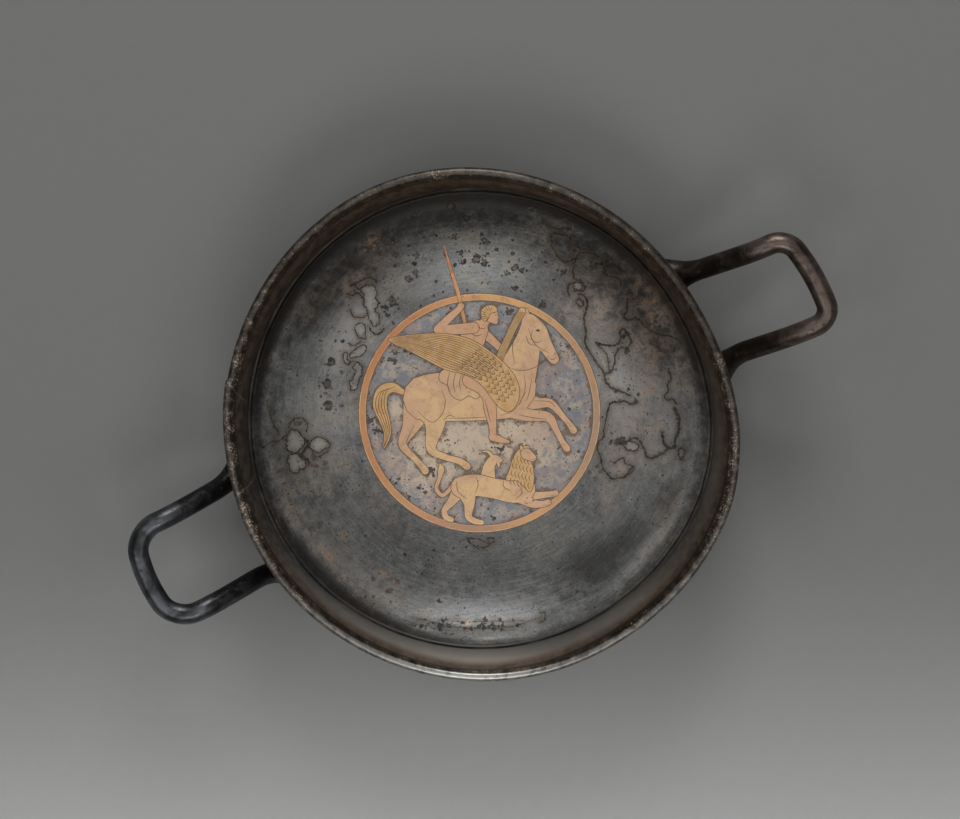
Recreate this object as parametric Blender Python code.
"""A shallow two-handled silver drinking cup: a stemless kylix with an offset lip.

The bowl, its foot ring and its two looped handles are four pieces, soldered together.
+Z is up through the mouth, +X runs along the line of the handles, and the cup stands on z = 0.
Run it with: blender --background --python part.py
"""

import math

import bmesh
import bpy
from mathutils import Vector

MM = 0.001

# Bowl
RIM_RADIUS = 68.0 * MM  # outside of the rim
RIM_BEAD = 1.3 * MM  # radius of the rounded edge of the lip
LIP_WIDTH = 7.5 * MM  # from the inner ridge out to the outside of the rim, seen from above
LIP_HEIGHT = 12.0 * MM  # from the inner ridge up to the top of the rim
LIP_WALL = 1.2 * MM
LIP_SWEEP = math.radians(65)  # how far round the hollow curve of the lip turns
GROOVE_WIDTH = 1.2 * MM  # the narrow step between the inner ridge and the lip
GROOVE_DEPTH = 0.7 * MM
BOWL_DEPTH = 13.2 * MM  # from the inner ridge down to the middle of the floor
BOWL_POWER = 3.4  # 2 is a plain dish; more is a flatter floor with a steeper wall
FLOOR_WALL = 1.2 * MM
SHOULDER_WALL = 2.2 * MM  # the metal is thicker under the ridge, where the handles hold
SHOULDER_START = 0.7  # share of the ridge's radius where the wall begins to thicken

# Foot ring
FOOT_RADIUS = 33.0 * MM
FOOT_WIDTH = 4.4 * MM
FOOT_NECK = 1.1 * MM  # how far the ring's outer side draws in under the bowl
FOOT_EDGE = 0.6 * MM  # rounding of its lower edges
STAND_OFF = 4.2 * MM  # from the table up to the middle of the bowl's underside

# Handles, each a bar bent into a loop that rises from under the lip to the height of the rim
BAR_WIDTH = 5.5 * MM
BAR_HEIGHT = 5.0 * MM
ROOT_WIDTH = 12.5 * MM  # the flared end, where it meets the wall
ROOT_HEIGHT = 6.6 * MM
ROOT_FLARE = 13.0 * MM  # length over which the bar widens to its flared end
ROOT_BELOW_RIDGE = 2.7 * MM
ROOT_SET_BACK = 1.5 * MM  # how far inside the ridge's radius the flare is at its full width
ROOT_DIP = -0.3  # slope of the arm as it leaves the wall
ROOT_INSIDE = 9.0 * MM  # length that runs on into the wall before it is trimmed
BAR_ABOVE_RIM = 0.4 * MM  # from the rim's top up to the middle of the end bar
HANDLE_REACH = {"handle_right": 26.7 * MM, "handle_left": 26.6 * MM}  # rim to end bar
HANDLE_GRIP = {"handle_right": 24.6 * MM, "handle_left": 26.2 * MM}  # between the arms' middles
HANDLE_SHIFT = {"handle_right": 0.1 * MM, "handle_left": -0.9 * MM}  # sideways, along Y
ROOT_SPREAD_PLUS_Y = {"handle_right": 0.9 * MM, "handle_left": 2.5 * MM}  # outwards, at the root
ROOT_SPREAD_MINUS_Y = {"handle_right": 2.6 * MM, "handle_left": 2.3 * MM}
HANDLE_BOW = {"handle_right": 1.4 * MM, "handle_left": 2.2 * MM}  # outward curve of the end bar
HANDLE_SLANT = {"handle_right": -0.09, "handle_left": -0.01}  # lean of the end bar, mm per mm of Y
CORNER_RADIUS = {"handle_right": 4.2 * MM, "handle_left": 6.2 * MM}
SIDE = {"handle_right": 1, "handle_left": -1}

# The cup has been bent out of round. Each wave: how many round the rim, its swing at the rim
# and at the inner ridge, and the angle of one crest from +X.
WAVES = (
    (1, 0.50 * MM, 0.40 * MM, math.radians(-112)),
    (2, 1.27 * MM, 0.40 * MM, math.radians(-77)),
    (3, 0.75 * MM, 0.41 * MM, math.radians(-41)),
    (4, 0.24 * MM, 0.09 * MM, math.radians(-33)),
    (5, 0.20 * MM, 0.13 * MM, math.radians(33)),
    (6, 0.13 * MM, 0.06 * MM, math.radians(23)),
)
WARP_START = 0.6  # share of the ridge's radius inside which the bowl is still round

SOLDER_GAP = 0.3 * MM  # clearance between pieces that are soldered together
TURN_STEPS = 64
FLOOR_RINGS = 10
BAR_SIDES = 12

RIDGE_RADIUS = RIM_RADIUS - LIP_WIDTH
FLOOR_Z = STAND_OFF + FLOOR_WALL
RIDGE_Z = FLOOR_Z + BOWL_DEPTH
RIM_Z = RIDGE_Z + LIP_HEIGHT

SILVER = (0.22, 0.22, 0.23, 1.0)
DARK_SILVER = (0.11, 0.10, 0.10, 1.0)


def smooth(share):
    """0 to 1 with a soft start and end, for a share that may lie outside 0 to 1."""
    share = min(1.0, max(0.0, share))
    return share * share * (3 - 2 * share)


def clear_scene():
    for obj in list(bpy.data.objects):
        bpy.data.objects.remove(obj)


def metal(name, colour, roughness):
    material = bpy.data.materials.new(name)
    material.use_nodes = True
    shader = material.node_tree.nodes["Principled BSDF"]
    shader.inputs["Base Color"].default_value = colour
    shader.inputs["Metallic"].default_value = 1.0
    shader.inputs["Roughness"].default_value = roughness
    return material


def add_object(name, mesh, material):
    obj = bpy.data.objects.new(name, mesh)
    obj.data.materials.append(material)
    bpy.context.scene.collection.objects.link(obj)
    mesh.shade_smooth()
    mesh.set_sharp_from_angle(angle=math.radians(40))
    return obj


# Profiles, as (radius, height) points


def inner_point(radius):
    share = radius / RIDGE_RADIUS
    return Vector((radius, FLOOR_Z + BOWL_DEPTH * share**BOWL_POWER))


def inner_slope(radius):
    share = radius / RIDGE_RADIUS
    return BOWL_POWER * BOWL_DEPTH / RIDGE_RADIUS * share ** (BOWL_POWER - 1)


def under_point(radius, extra=0.0):
    """The point of the underside that lies square behind the inner surface at this radius."""
    share = (radius / RIDGE_RADIUS - SHOULDER_START) / (1 - SHOULDER_START)
    wall = FLOOR_WALL + (SHOULDER_WALL - FLOOR_WALL) * smooth(share) + extra
    slope = inner_slope(radius)
    outward = Vector((slope, -1.0)).normalized()
    return inner_point(radius) + outward * wall


def under_height(radius, extra=0.0):
    """Height of the underside at a radius of its own."""
    low, high = 0.0, RIDGE_RADIUS
    for _ in range(40):
        middle = (low + high) / 2
        if under_point(middle, extra).x < radius:
            low = middle
        else:
            high = middle
    return under_point(low, extra).y


def lip_start():
    return Vector((RIDGE_RADIUS + GROOVE_WIDTH, RIDGE_Z - GROOVE_DEPTH))


def bead_point(angle, extra=0.0):
    middle = Vector((RIM_RADIUS - RIM_BEAD, RIM_Z - RIM_BEAD))
    return middle + Vector((math.cos(angle), math.sin(angle))) * (RIM_BEAD + extra)


BEAD_FROM, BEAD_TO = math.radians(150), math.radians(-55)


def lip_point(share, extra=0.0):
    """A point of the lip's hollow inner face, or of its outer face, extra further out."""
    start, end = lip_start(), bead_point(BEAD_FROM)
    turn = share * LIP_SWEEP
    across = (1 - math.cos(turn)) / (1 - math.cos(LIP_SWEEP))
    up = math.sin(turn) / math.sin(LIP_SWEEP)
    point = Vector((start.x + (end.x - start.x) * across, start.y + (end.y - start.y) * up))
    run = (end.x - start.x) * math.sin(turn) / (1 - math.cos(LIP_SWEEP))
    rise = (end.y - start.y) * math.cos(turn) / math.sin(LIP_SWEEP)
    return point + Vector((rise, -run)).normalized() * extra


def floor_radii():
    """Radii from the axis to the ridge, closer together where the wall curves most."""
    return [RIDGE_RADIUS * (k / FLOOR_RINGS) ** 0.7 for k in range(FLOOR_RINGS + 1)]


def inner_profile():
    points = [inner_point(radius) for radius in floor_radii()]
    points.append(Vector((RIDGE_RADIUS + 0.4 * GROOVE_WIDTH, RIDGE_Z - 0.25 * GROOVE_DEPTH)))
    points.append(Vector((RIDGE_RADIUS + 0.7 * GROOVE_WIDTH, RIDGE_Z - GROOVE_DEPTH)))
    points += [lip_point(k / 6) for k in range(6)]
    return points


def bead_profile(extra=0.0):
    return [bead_point(BEAD_FROM + (BEAD_TO - BEAD_FROM) * k / 7, extra) for k in range(8)]


def outer_profile(extra=0.0):
    """From under the rim's bead down the outside to the middle of the underside."""
    points = [lip_point(share, LIP_WALL + extra) for share in (0.78, 0.6, 0.42, 0.22, 0.08)]
    edge = under_point(RIDGE_RADIUS, extra)
    shoulder_radius = lip_start().x + LIP_WALL + extra
    rise = inner_slope(RIDGE_RADIUS) * (shoulder_radius - edge.x)
    points.append(Vector((shoulder_radius, edge.y + rise)))
    points += [under_point(radius, extra) for radius in reversed(floor_radii())]
    return points


# Solids


def warp(radius, height, angle):
    """How far the bent metal stands out from a true circle here."""
    near_ridge = smooth((radius / RIDGE_RADIUS - WARP_START) / (1 - WARP_START))
    up_lip = min(1.0, max(0.0, (height - RIDGE_Z) / LIP_HEIGHT))
    shift = 0.0
    for count, at_rim, at_ridge, crest in WAVES:
        swing = at_ridge * near_ridge + (at_rim - at_ridge) * up_lip * near_ridge
        shift += swing * math.cos(count * (angle - crest))
    return shift


def turned(name, profile, closed=False):
    """A turned mesh: an open profile ends on the axis at both ends, a closed one is a ring."""
    shape = bmesh.new()
    rings = []
    for point in profile:
        if point.x == 0.0:
            rings.append([shape.verts.new((0.0, 0.0, point.y))] * TURN_STEPS)
            continue
        ring = []
        for step in range(TURN_STEPS):
            angle = math.tau * step / TURN_STEPS
            radius = point.x + warp(point.x, point.y, angle)
            x, y = radius * math.cos(angle), radius * math.sin(angle)
            ring.append(shape.verts.new((x, y, point.y)))
        rings.append(ring)
    pairs = list(zip(rings, rings[1:]))
    if closed:
        pairs.append((rings[-1], rings[0]))
    for ring, following in pairs:
        for step in range(TURN_STEPS):
            after = (step + 1) % TURN_STEPS
            corners = [ring[step], ring[after], following[after], following[step]]
            shape.faces.new(list(dict.fromkeys(corners)))
    bmesh.ops.recalc_face_normals(shape, faces=shape.faces)
    mesh = bpy.data.meshes.new(name)
    shape.to_mesh(mesh)
    shape.free()
    return mesh


def make_bowl():
    profile = inner_profile() + bead_profile() + outer_profile()
    return add_object("bowl", turned("bowl", profile), metal("silver", SILVER, 0.35))


def make_foot_ring():
    inside = FOOT_RADIUS - FOOT_WIDTH
    top_outside = FOOT_RADIUS - FOOT_NECK
    profile = [
        Vector((inside, under_height(inside, SOLDER_GAP))),
        Vector((inside, FOOT_EDGE)),
        Vector((inside + FOOT_EDGE, 0.0)),
        Vector((FOOT_RADIUS - FOOT_EDGE, 0.0)),
        Vector((FOOT_RADIUS, FOOT_EDGE)),
        Vector((FOOT_RADIUS, 0.4 * STAND_OFF)),
        Vector((top_outside, 0.75 * STAND_OFF)),
        Vector((top_outside, under_height(top_outside, SOLDER_GAP))),
    ]
    steps = 4
    for k in range(1, steps):
        radius = top_outside + (inside - top_outside) * k / steps
        profile.append(Vector((radius, under_height(radius, SOLDER_GAP))))
    mesh = turned("foot_ring", profile, closed=True)
    return add_object("foot_ring", mesh, metal("foot_silver", SILVER, 0.4))


def make_trimmer():
    """The bowl's outside with everything within it, to trim the handles' ends to the wall."""
    top = RIM_Z + SOLDER_GAP
    profile = [Vector((0.0, top))]
    profile += bead_profile(SOLDER_GAP)[2:] + outer_profile(SOLDER_GAP)
    trimmer = bpy.data.objects.new("trimmer", turned("trimmer", profile))
    bpy.context.scene.collection.objects.link(trimmer)
    trimmer.hide_render = True
    trimmer.display_type = "WIRE"
    return trimmer


def arm_point(name, share):
    """Distance out, height and distance past the wall, from inside it (0) to the corner (1)."""
    corner = CORNER_RADIUS[name]
    wall_x, wall_z = RIDGE_RADIUS - ROOT_SET_BACK, RIDGE_Z - ROOT_BELOW_RIDGE
    end_x, end_z = RIM_RADIUS + HANDLE_REACH[name] - corner, RIM_Z + BAR_ABOVE_RIM
    run = end_x - wall_x
    inside = ROOT_INSIDE / (ROOT_INSIDE + run)
    t = (share - inside) / (1 - inside)
    x = wall_x + run * t
    if t < 0:
        z = wall_z + ROOT_DIP * run * t
    else:
        rise = end_z - wall_z
        z = wall_z + rise * smooth(t) + ROOT_DIP * run * t * (1 - t) ** 2
    return x, z, x - wall_x


def handle_path(name):
    """(middle, width, height) of each section, from the +Y end round to the -Y end."""
    arm_steps, corner_steps, bar_steps = 16, 5, 6
    corner, half = CORNER_RADIUS[name], HANDLE_GRIP[name] / 2
    reach = RIM_RADIUS + HANDLE_REACH[name]
    top = RIM_Z + BAR_ABOVE_RIM
    sides = []
    for way, spread in ((1, ROOT_SPREAD_PLUS_Y[name]), (-1, ROOT_SPREAD_MINUS_Y[name])):
        side = []
        for step in range(arm_steps + 1):
            x, z, past_wall = arm_point(name, step / arm_steps)
            flare = 1 - smooth(past_wall / ROOT_FLARE)
            width = BAR_WIDTH + (ROOT_WIDTH - BAR_WIDTH) * flare**2
            height = BAR_HEIGHT + (ROOT_HEIGHT - BAR_HEIGHT) * flare
            side.append((Vector((x, way * (half + spread * flare), z)), width, height))
        for step in range(1, corner_steps + 1):
            angle = math.pi / 2 * (1 - step / corner_steps)
            x = reach - corner + corner * math.cos(angle)
            y = half - corner + corner * math.sin(angle)
            side.append((Vector((x, way * y, top)), BAR_WIDTH, BAR_HEIGHT))
        sides.append(side)
    bar = []
    for step in range(1, bar_steps):
        y = (half - corner) * (1 - 2 * step / bar_steps)
        bar.append((Vector((reach, y, top)), BAR_WIDTH, BAR_HEIGHT))
    path = sides[0] + bar + sides[1][::-1]
    placed = []
    for point, width, height in path:
        out_here = smooth((point.x - RIM_RADIUS) / HANDLE_REACH[name])
        bulge = HANDLE_BOW[name] * (1 - (point.y / half) ** 2) if point.x > reach - corner else 0.0
        x = point.x + bulge + HANDLE_SLANT[name] * point.y * out_here
        middle = Vector((SIDE[name] * x, point.y + HANDLE_SHIFT[name], point.z))
        placed.append((middle, width, height))
    return placed


def make_handle(name, trimmer):
    path = handle_path(name)
    shape = bmesh.new()
    rings = []
    for k, (middle, width, height) in enumerate(path):
        before, after = path[max(0, k - 1)][0], path[min(len(path) - 1, k + 1)][0]
        along = (after - before).normalized()
        across = Vector((along.y, -along.x, 0.0)).normalized()
        upward = across.cross(along)
        ring = []
        for side in range(BAR_SIDES):
            angle = math.tau * side / BAR_SIDES
            offset = across * (width / 2 * math.cos(angle)) + upward * (height / 2 * math.sin(angle))
            ring.append(shape.verts.new(middle + offset))
        rings.append(ring)
    for ring, following in zip(rings, rings[1:]):
        for side in range(BAR_SIDES):
            after = (side + 1) % BAR_SIDES
            shape.faces.new([ring[side], ring[after], following[after], following[side]])
    shape.faces.new(rings[0])
    shape.faces.new(rings[-1])
    bmesh.ops.recalc_face_normals(shape, faces=shape.faces)
    mesh = bpy.data.meshes.new(name)
    shape.to_mesh(mesh)
    shape.free()
    handle = add_object(name, mesh, metal(f"{name}_silver", DARK_SILVER, 0.45))
    trim = handle.modifiers.new("trim_to_wall", "BOOLEAN")
    trim.operation = "DIFFERENCE"
    trim.object = trimmer
    return handle


def main():
    clear_scene()
    make_bowl()
    make_foot_ring()
    trimmer = make_trimmer()
    for name in SIDE:
        make_handle(name, trimmer)


main()
